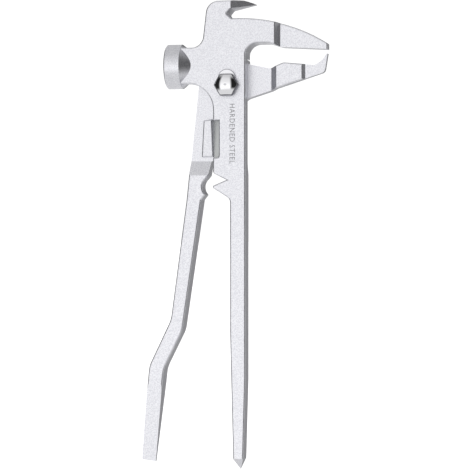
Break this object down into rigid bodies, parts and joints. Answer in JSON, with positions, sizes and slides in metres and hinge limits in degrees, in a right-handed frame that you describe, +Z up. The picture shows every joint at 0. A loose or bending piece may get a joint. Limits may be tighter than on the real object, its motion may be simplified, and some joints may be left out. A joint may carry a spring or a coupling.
{
  "type": "wheel weight pliers",
  "caption": "Forged two-lever pliers for clip-on wheel balance weights: hooked jaws, hammer head, claw, lead cutter, pointed grip and cranked pry handle on one bolt.",
  "frame": {"origin": "on the pivot axis, at the plane where the two levers rub on each other", "axes": "+Z up along the hammer lever, away from the grips; +X towards the jaw tips; +Y to the back, where the lock nut is; the bolt head faces -Y"},
  "size_m": [0.0973, 0.0297, 0.2383],
  "materials": {
    "plated_forging": "satin nickel-chrome plate over a forged surface",
    "polished_bolt": "polished",
    "bright_washer": "bright zinc",
    "zinc_nut": "zinc plated",
    "nylon_ring": "plain nylon"
  },
  "bodies": {
    "hammer_side": {"hammer_lever": "plated_forging", "pivot_bolt": "polished_bolt", "lock_washer": "bright_washer", "rear_washer": "bright_washer", "lock_nut": "zinc_nut", "locking_ring": "nylon_ring"},
    "pry_side": {"pry_lever": "plated_forging"}
  },
  "joints": [
    {"name": "jaw_pivot", "type": "hinge", "parent": "hammer_side", "child": "pry_side", "pos_m": [0, 0, 0], "axis": [0, 1, 0], "range_deg": [-2.2, 24]}
  ]
}
